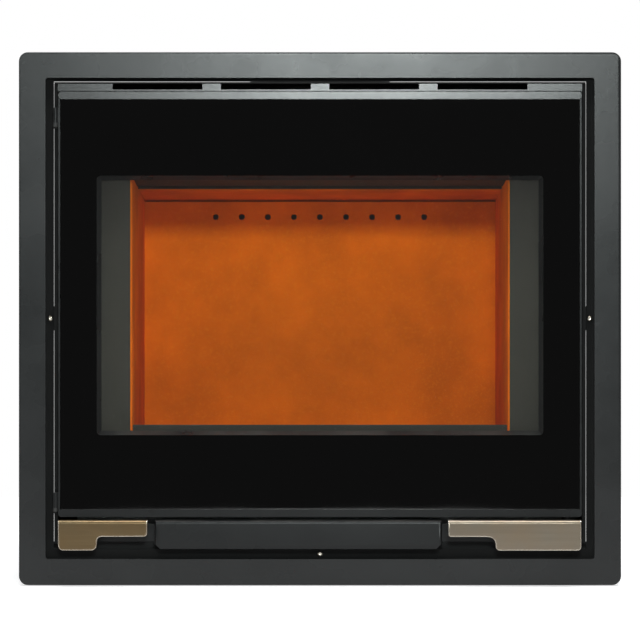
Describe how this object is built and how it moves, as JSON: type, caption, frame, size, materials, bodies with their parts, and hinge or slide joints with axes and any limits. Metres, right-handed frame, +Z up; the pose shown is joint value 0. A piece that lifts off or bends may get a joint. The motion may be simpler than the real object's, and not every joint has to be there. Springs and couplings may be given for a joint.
{
  "type": "fireplace insert",
  "caption": "Wood-burning fireplace insert with a glass door, stainless handle and air lever, lined fire chamber, convection casing and folded trim frame.",
  "frame": {"origin": "centre of the bounding box's underside, on the floor that the levelling feet stand on", "axes": "+Z up, +Y from the door into the wall, +X to the right as seen from the room"},
  "size_m": [0.6, 0.385, 0.532],
  "materials": {
    "trim_paint": "satin dark grey stove paint",
    "casing_steel": "zinc-coated sheet steel",
    "firebox_steel": "matt black stove paint",
    "stainless": "brushed stainless steel",
    "lining_board": "insulating board, heat-tanned",
    "cast_iron": "raw cast iron",
    "door_glass": "clear ceramic glass with a black printed border",
    "rope": "glass-fibre rope"
  },
  "bodies": {
    "stove": {"trim_frame": "trim_paint", "casing_left": "trim_paint", "casing_right": "trim_paint", "recess_liner": "trim_paint", "base_strip": "trim_paint", "centre_bar": "trim_paint", "casing_top": "casing_steel", "casing_back": "casing_steel", "casing_base": "casing_steel", "air_box": "casing_steel", "air_riser_left": "casing_steel", "air_riser_right": "casing_steel", "air_riser_back": "casing_steel", "ash_tray": "casing_steel", "levelling_foot_1": "casing_steel", "levelling_foot_2": "casing_steel", "levelling_foot_3": "casing_steel", "levelling_foot_4": "casing_steel", "firebox_front": "firebox_steel", "firebox_left": "firebox_steel", "firebox_right": "firebox_steel", "firebox_back": "firebox_steel", "firebox_top": "firebox_steel", "firebox_base": "firebox_steel", "flue_collar": "firebox_steel", "smoke_deflector": "firebox_steel", "hinge_bracket_lower": "firebox_steel", "hinge_bracket_upper": "firebox_steel", "latch_striker": "firebox_steel", "sill": "firebox_steel", "air_wash_channel": "firebox_steel", "hinge_pin_lower": "stainless", "hinge_pin_upper": "stainless", "trim_screw_left": "stainless", "trim_screw_right": "stainless", "trim_screw_bottom": "stainless", "lining_floor": "lining_board", "lining_left": "lining_board", "lining_right": "lining_board", "lining_back": "lining_board", "baffle": "lining_board", "grate": "cast_iron"},
    "door": {"door_frame": "trim_paint", "door_glass": "door_glass", "glass_tape": "rope", "door_rope": "rope", "door_top_rail": "trim_paint", "door_bottom_rail": "trim_paint"},
    "handle": {"handle_plate": "stainless", "handle_spindle": "firebox_steel", "latch_hook": "firebox_steel"},
    "air_control": {"air_lever": "stainless", "air_rod": "firebox_steel", "air_damper": "firebox_steel"}
  },
  "joints": [
    {"name": "door_swing", "type": "hinge", "parent": "stove", "child": "door", "pos_m": [-0.2636, -0.1705, 0.28], "axis": [0, 0, -1], "range_deg": [0, 110]},
    {"name": "handle_turn", "type": "hinge", "parent": "door", "child": "handle", "pos_m": [0.246, -0.158, 0.06], "axis": [0, 0, 1], "range_deg": [0, 35]},
    {"name": "air_slide", "type": "slide", "parent": "stove", "child": "air_control", "axis": [0, -1, 0], "range_m": [0, 0.03]}
  ]
}
